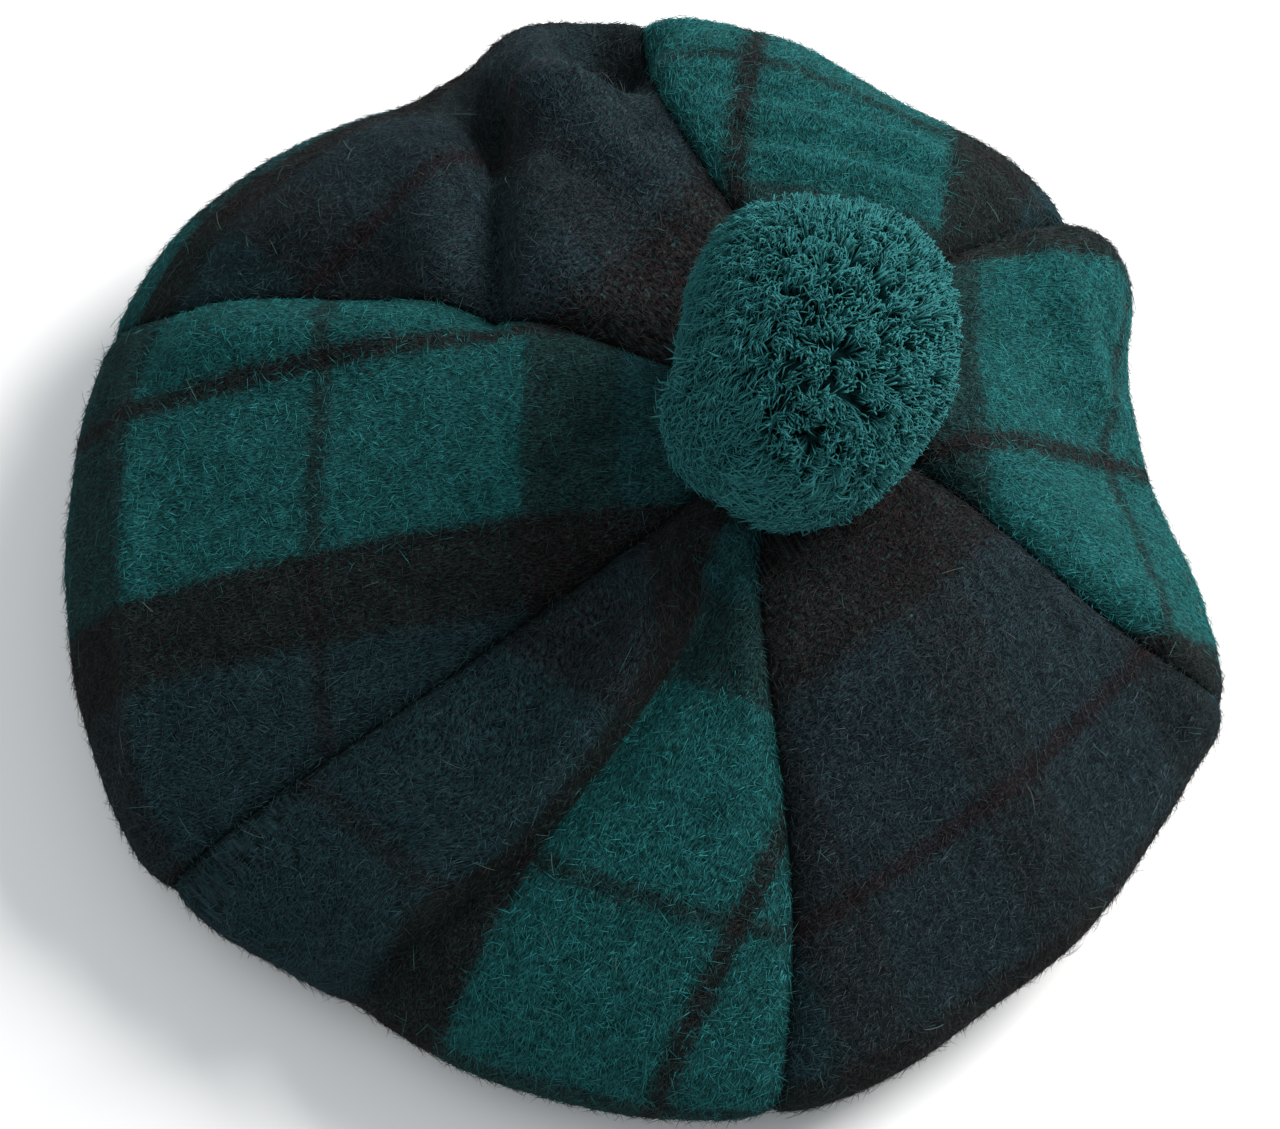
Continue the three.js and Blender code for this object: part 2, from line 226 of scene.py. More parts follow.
class TartanColours(bpy.types.PropertyGroup):
    green: FloatVectorProperty(name="Green", description="Green yarn", subtype="COLOR",
                               size=4, min=0, max=1, default=(0.0092, 0.070, 0.071, 1))
    navy: FloatVectorProperty(name="Navy", description="Navy yarn", subtype="COLOR",
                              size=4, min=0, max=1, default=(0.0128, 0.0215, 0.0262, 1))
    black: FloatVectorProperty(name="Black", description="Black yarn", subtype="COLOR",
                               size=4, min=0, max=1, default=(0.0119, 0.0105, 0.0107, 1))
    purple: FloatVectorProperty(name="Purple", description="Line in the navy", subtype="COLOR",
                                size=4, min=0, max=1, default=(0.0135, 0.0088, 0.0105, 1))
    pompom: FloatVectorProperty(name="Pompom", description="Pompom wool", subtype="COLOR",
                                size=4, min=0, max=1, default=(0.0165, 0.125, 0.129, 1))


class PompomSizes(bpy.types.PropertyGroup):
    pile: FloatProperty(name="Pile", description="Length of the pompom's wool",
                        default=15 * MM, min=4 * MM, max=30 * MM, unit="LENGTH")
    strand_radius: FloatProperty(name="Strand radius", description="Thickness of a strand, halved",
                                 default=0.27 * MM, min=0.05 * MM, max=1 * MM, unit="LENGTH")
    strands: IntProperty(name="Strands", description="Strands of wool on each side of the pompom",
                         default=11000, min=100, max=12400)


class StageSizes(bpy.types.PropertyGroup):
    distance: FloatProperty(name="Camera distance", description="From the camera to the cap",
                            default=1.05, min=0.3, max=5, unit="LENGTH")
    elevation: FloatProperty(name="Camera elevation", description="Camera's angle above the floor",
                             default=math.radians(66), min=0, max=math.pi / 2, subtype="ANGLE")
    lens: FloatProperty(name="Lens", description="Focal length in millimetres", default=118.125,
                        min=20, max=400)
    floor: FloatProperty(name="Floor", description="Width of the floor", default=6.0, min=1, max=20,
                         unit="LENGTH")


# ---- The surface of the cap ----
def ease(x, start, end):
    k = np.clip((x - start) / (end - start), 0, 1)
    return k * k * (3 - 2 * k)


def cubic(u, span, v0, v1, m0, m1):
    """One cubic piece between two values with slopes."""
    return ((2 * u**3 - 3 * u**2 + 1) * v0 + (u**3 - 2 * u**2 + u) * span * m0
            + (3 * u**2 - 2 * u**3) * v1 + (u**3 - u**2) * span * m1)


def around(column, turn):
    """A column of RIM as a smooth closed curve of the turn."""
    turns, values = RIM["turn"], RIM[column]
    t = np.concatenate([turns[-1:] - 360, turns, 360 + turns[:2]])
    v = np.concatenate([values[-1:], values, values[:2]])
    h = np.diff(t)
    d = np.diff(v) / h
    slope = np.append((d[:-1] * h[1:] + d[1:] * h[:-1]) / (h[:-1] + h[1:]), 0)
    x = np.mod(turn, 360)
    i = np.clip(np.searchsorted(turns, x, side="right") - 1, 0, len(turns) - 1)
    return cubic((x - t[i + 1]) / h[i + 1], h[i + 1], v[i + 1], v[i + 2], slope[i], slope[i + 1])


def along(values, s):
    """A smooth curve through one value at each station."""
    v = np.stack([np.broadcast_to(np.asarray(value, float), np.shape(s)) for value in values])
    h = np.diff(STATION).reshape((-1,) + (1,) * np.ndim(s))
    d = np.diff(v, axis=0) / h
    slope = np.concatenate([d[:1], (d[:-1] * h[1:] + d[1:] * h[:-1]) / (h[:-1] + h[1:]), d[-1:]])
    i = np.clip(np.searchsorted(STATION, s, side="right") - 1, 0, len(STATION) - 2)

    def pick(array, j):
        return np.take_along_axis(array, j[None], 0)[0]

    span = np.diff(STATION)[i]
    return cubic((s - STATION[i]) / span, span, pick(v, i), pick(v, i + 1),
                 pick(slope, i), pick(slope, i + 1))


def turn_at(a, share):
    """Turn about the button at place a round the gores, where whole numbers are seams."""
    whole = np.floor(a).astype(int)
    t = np.clip(share, 0.1, 1)
    q = ((t - 0.6) * (t - 1) / 0.32, (t - 0.2) * (t - 1) / -0.16, (t - 0.2) * (t - 0.6) / 0.32)

    def seam(i):
        row = i % 6
        return (SEAMS["inner"][row] * q[0] + SEAMS["middle"][row] * q[1] + SEAMS["rim"][row] * q[2]
                + 360 * np.floor(i / 6))

    return seam(whole) + (seam(whole + 1) - seam(whole)) * (a - whole)


def crown(a, s):
    """The crown before folds: a round the gores, s along the section."""
    a, s = np.broadcast_arrays(np.asarray(a, float), np.asarray(s, float))
    rim_turn = turn_at(a, np.ones_like(a))
    hang = around("hang", rim_turn)
    z = along([BUTTON[2], around("middle", rim_turn), around("brow", rim_turn),
               around("rim", rim_turn), hang, (hang + BAND["height"]) / 2 - 2, BAND["height"]], s)
    t = along([0, 0.45, around("share", rim_turn), 1, 1, 1, 1], s)
    u = along([0, 0, 0, 0, 0.34, 0.7, 1], s)
    turn = turn_at(a, t)
    reach = around("reach", turn)
    rim_reach = around("reach", rim_turn)
    turn = np.radians(turn)
    band_turn = np.radians(SEAMS["band"][0] + 60 * a)
    band_reach = BAND["inner"] + BAND["wall"] + BAND["gap"]
    in_x = (BAND["x"] + band_reach * np.cos(band_turn) - BUTTON[0]
            - rim_reach * np.cos(np.radians(rim_turn)))
    in_y = (BAND["y"] + band_reach * np.sin(band_turn) - BUTTON[1]
            - rim_reach * np.sin(np.radians(rim_turn)))
    return np.stack([BUTTON[0] + t * reach * np.cos(turn) + u * in_x,
                     BUTTON[1] + t * reach * np.sin(turn) + u * in_y, z], -1)


def beside(line, point):
    """Share of the way along a bowed line in plan, and how far to its left."""
    length = math.hypot(line["x1"] - line["x0"], line["y1"] - line["y0"])
    ux, uy = (line["x1"] - line["x0"]) / length, (line["y1"] - line["y0"]) / length
    px, py = point[..., 0] - line["x0"], point[..., 1] - line["y0"]
    k = (px * ux + py * uy) / length
    return k, -px * uy + py * ux - line["bow"] * 4 * k * (1 - k)


def fold_height(point, s):
    height = 0
    for fold in FOLDS:
        k, off = beside(fold, point)
        ends = ease(k, -0.12, 0.18) * (1 - ease(k, 0.82, 1.12))
        height = height + fold["height"] * ends * np.exp(-(np.abs(off / fold["width"]) ** fold["round"]))
    x, y = point[..., 0], point[..., 1]
    uneven = 0.35 * (np.sin(x / 8.3 + y / 21 + 1) * np.sin(y / 7.1 - x / 29) + np.sin(x / 15 - y / 11))
    return (height + uneven) * (1 - ease(s, 140, 170))


def cloth(a, s):
    """The crown with its folds, its seams drawn in and its gores puffed out. Also gives the
    distance from the nearest seam."""
    sizes = bpy.context.scene.tam_cloth
    point = crown(a, s)
    across = (crown(a + 0.001, s) - crown(a - 0.001, s)) / 0.002
    down = (crown(a, s + 0.05) - crown(a, s - 0.05)) / 0.1
    out = np.cross(down, across)
    out /= np.linalg.norm(out, axis=-1, keepdims=True) + 1e-12
    off = np.abs(a - np.round(a)) * np.linalg.norm(across, axis=-1)
    drawn = (sizes.seam_depth / MM * np.exp(-((off / (sizes.seam_width / MM)) ** 2))
             + STITCH["depth"] * np.exp(-off / STITCH["width"]))
    drawn = drawn * ease(s, 4, 40) * (1 - 0.55 * ease(s, 100, 150)) * (1 - 0.5 * ease(s, 182, 238))
    puffed = (sizes.puff / MM * np.sin(np.pi * (a - np.floor(a)))
              * ease(s, 10, 60) * (1 - ease(s, 118, 182)))
    height = ((fold_height(point, s) + puffed - drawn) * ease(s, 2, 22) * (1 - ease(s, 212, 234)))
    return point + out * height[..., None], off


def flattened(gore, columns=25, rows=64, steps=1500):
    """The gore laid flat on the cutting table: where each point of a grid of its cloth falls.
    Neighbours are moved until they lie as far apart as they do on the cap."""
    share = np.linspace(1e-3, 1 - 1e-3, columns)
    s = np.linspace(4, 238, rows)
    a, section = np.meshgrid(gore + share, s, indexing="ij")
    place, _ = cloth(a, section)
    x = np.concatenate([np.zeros((1, rows)),
                        np.linalg.norm(np.diff(place, axis=0), axis=-1).cumsum(0)])
    x = x - x[-1] / 2
    y = np.linalg.norm(np.diff(place[columns // 2], axis=0), axis=-1).cumsum()
    y = np.concatenate([[0], y]) + np.linalg.norm(place[columns // 2, 0] - np.array(BUTTON))
    flat = np.stack([x, np.broadcast_to(y, x.shape)], -1)
    every, first, second = slice(None), slice(None, -1), slice(1, None)
    links = [((first, every), (second, every)), ((every, first), (every, second)),
             ((first, first), (second, second)), ((second, first), (first, second))]
    rest = [np.linalg.norm(place[p] - place[q], axis=-1) for p, q in links]
    firmness = 1 - 0.9 * ease(section, 160, 200)
    for _ in range(steps):
        move = np.zeros_like(flat)
        weight = np.zeros(flat.shape[:2])
        for (p, q), length in zip(links, rest):
            way = flat[q] - flat[p]
            now = np.linalg.norm(way, axis=-1) + 1e-9
            firm = np.minimum(firmness[p], firmness[q])
            pull = way * ((1 - length / now) * 0.5 * firm)[..., None]
            move[p] += pull
            move[q] -= pull
            weight[p] += firm
            weight[q] += firm
        flat = flat + 1.6 * move / weight[..., None]
    return share, s, flat


def sampled(share, s, grid, at_share, at_s):
    """Values of a grid between its lines."""
    i = np.clip((at_share - share[0]) / (share[1] - share[0]), 0, len(share) - 1.001)
    j = np.clip((at_s - s[0]) / (s[1] - s[0]), 0, len(s) - 1.001)
    i0, j0 = i.astype(int), j.astype(int)
    u, v = (i - i0)[..., None], (j - j0)[..., None]
    return ((grid[i0, j0] * (1 - u) + grid[i0 + 1, j0] * u) * (1 - v)
            + (grid[i0, j0 + 1] * (1 - u) + grid[i0 + 1, j0 + 1] * u) * v)


def frame_shift():
    """From the cap's own centre lines to the frame, in metres."""
    low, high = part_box("headband")
    return np.array([(low[0] + high[0]) / 2 - BAND["x"] * MM,
                     (low[1] + high[1]) / 2 - BAND["y"] * MM, 0.0])


# ---- Meshes ----
def new_piece(name, mesh, *materials):
    piece = bpy.data.objects.new(name, mesh)
    bpy.context.scene.collection.objects.link(piece)
    for material in materials:
        mesh.materials.append(material)
    return piece


def set_uv(mesh, per_vertex):
    corner = np.empty(len(mesh.loops), int)
    mesh.loops.foreach_get("vertex_index", corner)
    layer = mesh.uv_layers.get("cloth") or mesh.uv_layers.new(name="cloth")
    layer.data.foreach_set("uv", np.ascontiguousarray(per_vertex[corner], np.float32).ravel())


def smooth(mesh):
    mesh.polygons.foreach_set("use_smooth", np.ones(len(mesh.polygons), bool))
    mesh.update()


def strands(name, paths, radii, side, material, uv=None):
    """Closed, three-sided strands that follow the paths and end in a point, joined in one mesh."""
    count, steps, _ = paths.shape
    way = np.gradient(paths, axis=1)
    way /= np.linalg.norm(way, axis=-1, keepdims=True) + 1e-12
    u = np.cross(way, side[:, None, :])
    u /= np.linalg.norm(u, axis=-1, keepdims=True) + 1e-12
    v = np.cross(way, u)
    angles = np.array([0, 2 * math.pi / 3, 4 * math.pi / 3])
    ring = (paths[:, :-1, None] + radii[:, :-1, None, None]
            * (np.cos(angles)[:, None] * u[:, :-1, None] + np.sin(angles)[:, None] * v[:, :-1, None]))
    points = np.concatenate([ring.reshape(count, -1, 3), paths[:, -1:]], 1)
    each = points.shape[1]
    faces = [(2, 1, 0)]
    for r in range(steps - 2):
        for i in range(3):
            j = (i + 1) % 3
            faces += [(3 * r + i, 3 * r + j, 3 * r + 3 + j), (3 * r + i, 3 * r + 3 + j, 3 * r + 3 + i)]
    faces += [(each - 4 + i, each - 4 + (i + 1) % 3, each - 1) for i in range(3)]
    index = (np.array(faces)[None] + each * np.arange(count)[:, None, None]).reshape(-1)
    mesh = bpy.data.meshes.new(name)
    mesh.vertices.add(count * each)
    mesh.vertices.foreach_set("co", points.astype(np.float32).ravel())
    mesh.loops.add(len(index))
    mesh.loops.foreach_set("vertex_index", index.astype(np.int32))
    mesh.polygons.add(len(index) // 3)
    mesh.polygons.foreach_set("loop_start", np.arange(0, len(index), 3, dtype=np.int32))
    mesh.update(calc_edges=True)
    if uv is not None:
        set_uv(mesh, np.repeat(uv, each, axis=0))
    share = np.append(np.repeat(np.arange(steps - 1) / (steps - 1), 3), 1.0)
    rise = mesh.attributes.new("along", "FLOAT", "POINT")
    rise.data.foreach_set("value", np.tile(share, count).astype(np.float32))
    smooth(mesh)
    return new_piece(name, mesh, material)


# ---- Finishes ----
class Wool:
    """A short way to lay out one material's nodes."""

    def __init__(self, name):
        self.material = bpy.data.materials.new(name)
        self.material.use_nodes = True
        self.tree = self.material.node_tree
        self.shader = self.tree.nodes["Principled BSDF"]

    def node(self, kind, **values):
        node = self.tree.nodes.new(kind)
        for key, value in values.items():
            if hasattr(node, key):
                setattr(node, key, value)
            else:
                self.put(node.inputs[key.replace("_", " ")], value)
        return node

    def put(self, socket, value):
        if isinstance(value, bpy.types.NodeSocket):
            self.tree.links.new(value, socket)
        else:
            socket.default_value = value

    def math(self, operation, *values):
        node = self.tree.nodes.new("ShaderNodeMath")
        node.operation = operation
        for socket, value in zip(node.inputs, values):
            self.put(socket, value)
        return node.outputs[0]

    def vector(self, operation, a, b):
        node = self.tree.nodes.new("ShaderNodeVectorMath")
        node.operation = operation
        self.put(node.inputs[0], a)
        self.put(node.inputs["Scale"] if operation == "SCALE" else node.inputs[1], b)
        return node.outputs[0]

    def mix(self, factor, a, b):
        node = self.tree.nodes.new("ShaderNodeMix")
        node.data_type = "RGBA"
        self.put(node.inputs[0], factor)
        self.put(node.inputs[6], a)
        self.put(node.inputs[7], b)
        return node.outputs[2]

    def noise(self, vector, scale, detail=3.0, roughness=0.6):
        node = self.node("ShaderNodeTexNoise", Vector=vector, Scale=scale, Detail=detail,
                         Roughness=roughness)
        return node.outputs[0]

    def ramp(self, factor, stops):
        node = self.tree.nodes.new("ShaderNodeValToRGB")
        elements = node.color_ramp.elements
        while len(elements) < len(stops):
            elements.new(1.0)
        for element, (place, colour) in zip(elements, stops):
            element.position = place
            element.color = colour
        self.put(node.inputs[0], factor)
        return node.outputs[0]

    def stripes(self, place, edges, soft=1.3):
        """Stripe colours from the distance to the middle of the green, repeating as a mirror."""
        colours = bpy.context.scene.tam_colours
        known = {name: tuple(getattr(colours, name)) for name in ("green", "navy", "black", "purple")}
        known["line"] = known["black"]
        half = edges[-1][1]
        folded = self.math("PINGPONG", place, half * MM)
        share = self.math("DIVIDE", folded, half * MM)
        stops = [(0.0, known[edges[0][0]])]
        for (name, edge), (after, _) in zip(edges, edges[1:]):
            stops.append(((edge - soft) / half, known[name]))
            stops.append(((edge + soft) / half, known[after]))
        return self.ramp(share, stops)

    def tartan(self, vector):
        """The woven tartan, its two sets of yarns brushed into each other."""
        stray = self.noise(vector, 420.0, 4.0, 0.7)
        stray = self.math("MULTIPLY", self.math("SUBTRACT", stray, 0.5), 0.0085)
        apart = self.node("ShaderNodeSeparateXYZ", Vector=vector)
        strong = self.stripes(self.math("ADD", apart.outputs[0], stray), STRONG_STRIPES)
        weak = self.stripes(self.math("ADD", apart.outputs[1], stray), WEAK_STRIPES)
        share = self.noise(vector, 1100.0, 3.0, 0.7)
        share = self.math("MULTIPLY_ADD", self.math("SUBTRACT", share, 0.5), 1.3, 0.73)
        share = self.math("MINIMUM", self.math("MAXIMUM", share, 0.12), 0.97)
        # the darker yarns shade the lighter ones: a weighted harmonic mean of the two colours
        both = self.vector("MULTIPLY", strong, weak)
        part = self.vector("SCALE", weak, share)
        rest = self.vector("SCALE", strong, self.math("SUBTRACT", 1.0, share))
        return self.vector("DIVIDE", both, self.vector("ADD", part, rest))


def cloth_finish(name):
    wool = Wool(name)
    place = wool.node("ShaderNodeUVMap", uv_map="cloth").outputs[0]
    colour = wool.tartan(place)
    # lighter and darker flecks of brushed fibre, lying in three slanting directions
    flecks = None
    for turn in (0.5, -0.6, 1.6):
        lie = wool.node("ShaderNodeMapping", Vector=place, Rotation=(0, 0, turn), Scale=(1.0, 0.25, 1.0))
        fleck = wool.noise(lie.outputs[0], 2300.0, 2.0, 0.6)
        flecks = fleck if flecks is None else wool.math("MAXIMUM", flecks, fleck)
    level = wool.math("MULTIPLY_ADD", wool.math("SUBTRACT", flecks, 0.60), 6.5, 0.95)
    level = wool.math("MINIMUM", wool.math("MAXIMUM", level, 0.2), 2.8)
    patches = wool.noise(place, 140.0, 5.0, 0.75)
    patches = wool.math("MULTIPLY_ADD", wool.math("SUBTRACT", patches, 0.5), 2.6, 1.0)
    level = wool.math("MULTIPLY", level, wool.math("MAXIMUM", patches, 0.35))
    # a few fibres of the green and of a dull purple lie brushed in everywhere
    colours = bpy.context.scene.tam_colours
    for scale, tone, share in ((900.0, tuple(colours.green), 0.45), (1150.0, (0.030, 0.017, 0.026, 1), 0.30)):
        stray = wool.noise(place, scale, 2.0, 0.6)
        stray = wool.math("MULTIPLY_ADD", wool.math("SUBTRACT", stray, 0.56), 9.0, 0.0)
        stray = wool.math("MULTIPLY", wool.math("MINIMUM", wool.math("MAXIMUM", stray, 0.0), 1.0), share)
        colour = wool.mix(stray, colour, tone)
    # painted shade: the colour is darkened by up to 0.8 towards each seam, in the crease where two gores meet
    seam = wool.node("ShaderNodeAttribute", attribute_name="seam").outputs["Fac"]
    level = wool.math("MULTIPLY", level, wool.math("SUBTRACT", 1.0, wool.math("MULTIPLY", seam, 0.8)))
    wool.put(wool.shader.inputs["Base Color"], wool.vector("SCALE", colour, level))
    wool.shader.inputs["Roughness"].default_value = 0.95
    wool.shader.inputs["Specular IOR Level"].default_value = 0.03
    wool.shader.inputs["Sheen Weight"].default_value = 0.018
    wool.shader.inputs["Sheen Roughness"].default_value = 0.5
    wool.shader.inputs["Sheen Tint"].default_value = (0.6, 0.95, 0.95, 1)
    felt = wool.noise(place, 600.0, 4.0, 0.65)
    bump = wool.node("ShaderNodeBump", Strength=1.0, Distance=0.0009,
                     Height=wool.math("ADD", wool.math("MULTIPLY", flecks, 0.8), felt))
    wool.put(wool.shader.inputs["Normal"], bump.outputs[0])
    return wool.material


def nap_finish(name):
    wool = Wool(name)
    place = wool.node("ShaderNodeUVMap", uv_map="cloth").outputs[0]
    colour = wool.tartan(place)
    # painted sheen: the fibres are painted about twice as light as the cloth's tartan, varying at random from
    # fibre to fibre
    level = wool.noise(place, 5000.0, 1.0, 0.5)
    level = wool.math("MULTIPLY_ADD", wool.math("SUBTRACT", level, 0.5), 7.0, 2.0)
    level = wool.math("MAXIMUM", level, 0.5)
    wool.put(wool.shader.inputs["Base Color"], wool.vector("SCALE", colour, level))
    wool.shader.inputs["Roughness"].default_value = 0.8
    wool.shader.inputs["Specular IOR Level"].default_value = 0.05
    return wool.material


def stray_finish(name):
    wool = Wool(name)
    place = wool.node("ShaderNodeTexCoord").outputs["Object"]
    level = wool.noise(place, 60.0, 2.0, 0.6)
    colour = wool.ramp(level, [(0.35, (0.020, 0.060, 0.060, 1)), (0.52, (0.050, 0.120, 0.115, 1)),
                               (0.68, (0.110, 0.130, 0.110, 1))])
    wool.put(wool.shader.inputs["Base Color"], colour)
    wool.shader.inputs["Roughness"].default_value = 0.8
    wool.shader.inputs["Specular IOR Level"].default_value = 0.1
    return wool.material


def pompom_finish(name, painted_shade_core):
    wool = Wool(name)
    place = wool.node("ShaderNodeTexCoord").outputs["Object"]
    tone = tuple(bpy.context.scene.tam_colours.pompom)
    deep = tuple(c * 0.55 for c in tone[:3]) + (1,)
    # painted shade: the body under the pile is painted far darker than the wool, standing in for the shade
    # between the strands
    if painted_shade_core:
        colour = wool.mix(wool.noise(place, 300.0), deep, tuple(c * 0.2 for c in tone[:3]) + (1,))
    else:
        pale = (tone[0] * 2.0, tone[1] * 1.5, tone[2] * 1.5, 1)
        # painted shade: each strand is painted darker towards its root, deep in the pile, and lighter towards
        # its tip; the noise adds tone that differs at random
        along_strand = wool.node("ShaderNodeAttribute", attribute_name="along").outputs["Fac"]
        level = wool.math("ADD", wool.noise(place, 420.0, 4.0, 0.8),
                          wool.math("MULTIPLY_ADD", along_strand, 0.42, -0.26))
        colour = wool.ramp(level, [(0.22, deep), (0.5, tone), (0.78, pale)])
    wool.put(wool.shader.inputs["Base Color"], colour)
    wool.shader.inputs["Roughness"].default_value = 0.8
    wool.shader.inputs["Specular IOR Level"].default_value = 0.15
    return wool.material


# ---- Pieces ----
def cut_place(gore, share, s, flat, at_share, at_s):
    """Where points of a gore lie on the tartan, in metres across the strong and weak stripes."""
    cut = CUTS[gore]
    spot = sampled(share, s, flat, at_share, at_s)
    strong = cut["strong_x"] * spot[..., 0] + cut["strong_y"] * spot[..., 1] - cut["strong_0"]
    strong = (strong + cut["drawn_y"] * ((spot[..., 1] - 100) / 10) ** 2
              + cut["drawn_x"] * (spot[..., 0] / 10) ** 2)
    strong = np.maximum(strong, cut["least"] + 0.03 * strong)
    weak = cut["weak_x"] * spot[..., 0] + cut["weak_y"] * spot[..., 1] - cut["weak_0"]
    for tuck in TUCKS:
        if tuck["gore"] == gore:
            k, off = beside(tuck, crown(gore + at_share, at_s))
            taken = ease(k, 0.02, 0.2) * (1 - ease(off, -4, 2)) * np.exp(-((off / tuck["spread"]) ** 2))
            strong = strong + tuck["strong"] * taken * (1 - ease(k, 0.56, 0.8))
            strong = np.minimum(strong, tuck["most"] + 0.05 * strong)
            weak = weak + tuck["weak"] * taken * (1 - ease(k, 0.85, 1.1))
    return np.stack([strong, weak], -1) * MM


class TAM_OT_gores(bpy.types.Operator):
    """Make the six wool gores of the crown, each a sheet of tartan with its nap and loose hairs"""
    bl_idname = "tam.gores"
    bl_label = "Gores"

    def execute(self, context):
        finish = cloth_finish("brushed_tartan_wool")
        fuzz = nap_finish("tartan_nap")
        loose = stray_finish("loose_fibre")
        for gore, name in enumerate(GORES):
            flat = flattened(gore)
            piece = self.sheet(context, gore, name, flat, finish)
            nap = self.nap(context, gore, name, flat, fuzz)
            hairs = self.hairs(context, gore, name, loose)
            for part in (piece, nap, hairs):
                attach(part, "root")
            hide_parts("gore_" + name)
        return {"FINISHED"}

    @staticmethod
    def lines(gore, share, s):
        """Places on a gore, kept clear of its neighbours at both edges."""
        edge = gore + np.round(share)
        span = np.linalg.norm(crown(edge + 0.001, s) - crown(edge - 0.001, s), axis=-1) / 0.002
        inset = SEAM_GAP / 2 / span
        return gore + inset + (1 - 2 * inset) * share

    def sheet(self, context, gore, name, flat, finish):
        bm = bmesh.new()
        bmesh.ops.create_grid(bm, x_segments=72, y_segments=112, size=0.5)
        mesh = bpy.data.meshes.new("gore_" + name + "_cloth")
        bm.to_mesh(mesh)
        bm.free()
        place = np.empty(len(mesh.vertices) * 3, np.float32)
        mesh.vertices.foreach_get("co", place)
        x, y = place.reshape(-1, 3)[:, 0] + 0.5, place.reshape(-1, 3)[:, 1] + 0.5
        # columns lie closer together towards the seams
        share = 1 - (0.45 * x + 0.55 * (0.5 - 0.5 * np.cos(np.pi * x)))
        s = 5 + 233 * y
        share, s = share.astype(float), s.astype(float)
        a = self.lines(gore, share, s)
        point, off = cloth(a, s)
        mesh.vertices.foreach_set("co", (point * MM + frame_shift()).astype(np.float32).ravel())
        set_uv(mesh, cut_place(gore, *flat, share, s))
        # painted shade along the seams: a weight that falls off with the distance from the seam, which
        # darkens the cloth's colour in the crease
        drawn = mesh.attributes.new("seam", "FLOAT", "POINT")
        drawn.data.foreach_set("value", np.exp(-off / 1.8).astype(np.float32))
        smooth(mesh)
        piece = new_piece(mesh.name, mesh, finish)
        shell = piece.modifiers.new("thickness", "SOLIDIFY")
        shell.thickness = context.scene.tam_cloth.thickness
        shell.offset = -1
        return piece

    def nap(self, context, gore, name, flat, finish):
        sizes = context.scene.tam_cloth
        rng = np.random.default_rng(40 + gore)
        share = np.linspace(0.002, 0.998, 90)
        s = np.linspace(14, 236, 120)
        a, section = np.meshgrid(gore + share, s, indexing="ij")
        grid, _ = cloth(a, section)
        da = grid[1:, :-1] - grid[:-1, :-1]
        ds = grid[:-1, 1:] - grid[:-1, :-1]
        area = np.linalg.norm(np.cross(ds, da), axis=-1)
        # less nap on the underside, towards the headband
        area = area * (1 - 0.75 * ease(section[:-1, :-1], 185, 225))
        count = sizes.nap_count
        cell = rng.choice(area.size, count, p=area.ravel() / area.sum())
        i, j = np.unravel_index(cell, area.shape)
        u, v = rng.random((count, 1)), rng.random((count, 1))
        root = ((grid[i, j] * (1 - u) + grid[i + 1, j] * u) * (1 - v)
                + (grid[i, j + 1] * (1 - u) + grid[i + 1, j + 1] * u) * v)
        down, across = ds[i, j], da[i, j]
        out = np.cross(down, across)
        out /= np.linalg.norm(out, axis=-1, keepdims=True)
        down /= np.linalg.norm(down, axis=-1, keepdims=True)
        across = np.cross(out, down)
        turn = rng.normal(0, 1.1, (count, 1))
        lie = down * np.cos(turn) + across * np.sin(turn)
        rise = np.abs(rng.normal(0, 0.16, (count, 1))) + 0.04
        length = sizes.nap_length / MM * rng.uniform(0.45, 1.35, (count, 1))
        tip = root + length * (lie * np.cos(rise) + out * np.sin(rise))
        root = root - 0.05 * out
        paths = np.stack([root, tip], 1) * MM + frame_shift()
        radii = np.full((count, 2), sizes.nap_radius) * rng.uniform(0.7, 1.3, (count, 1))
        at_share = share[i] + u[:, 0] * (share[1] - share[0])
        at_s = s[j] + v[:, 0] * (s[1] - s[0])
        # brushing drags some fibres out over the next stripe
        drag = rng.normal(0, DRAG["near"], (count, 2))
        drag = drag + rng.normal(0, DRAG["far"], (count, 2)) * (rng.random((count, 1)) < DRAG["far_share"])
        return strands("gore_" + name + "_nap", paths, radii, out, finish,
                       cut_place(gore, *flat, at_share, at_s) + drag * MM)

    def hairs(self, context, gore, name, finish):
        """A few long, curly fibres that stand loose from the cloth."""
        rng = np.random.default_rng(60 + gore)
        count = context.scene.tam_cloth.hair_count
        a, s = gore + rng.uniform(0.03, 0.97, count), 24 + 160 * np.sqrt(rng.random(count))
        root, _ = cloth(a, s)
        down = cloth(a, s + 0.4)[0] - root
        across = cloth(a + 0.003, s)[0] - root
        out = np.cross(down, across)
        out /= np.linalg.norm(out, axis=-1, keepdims=True)
        turn = rng.uniform(0, 2 * math.pi, (count, 1))
        down /= np.linalg.norm(down, axis=-1, keepdims=True)
        side = np.cross(out, down)
        lie = down * np.cos(turn) + side * np.sin(turn)
        bend = np.cross(out, lie)
        length = rng.uniform(HAIR["shortest"], HAIR["longest"], (count, 1))
        curl = rng.normal(0, 0.45, (count, 1))
        t = np.linspace(0, 1, HAIR["points"])[None, :, None]
        rise = 0.35 + rng.uniform(0.1, 1.1, (count, 1))[:, None] * np.sin(t * math.pi * 0.8)
        paths = (root[:, None] + lie[:, None] * length[:, None] * t
                 + bend[:, None] * (curl * length)[:, None] * t**2 * (1 - 0.5 * t) + out[:, None] * rise)
        radii = np.full((count, HAIR["points"]), HAIR["radius"] * MM) * rng.uniform(0.7, 1.2, (count, 1))
        return strands("gore_" + name + "_hairs", paths * MM + frame_shift(), radii, out, finish)


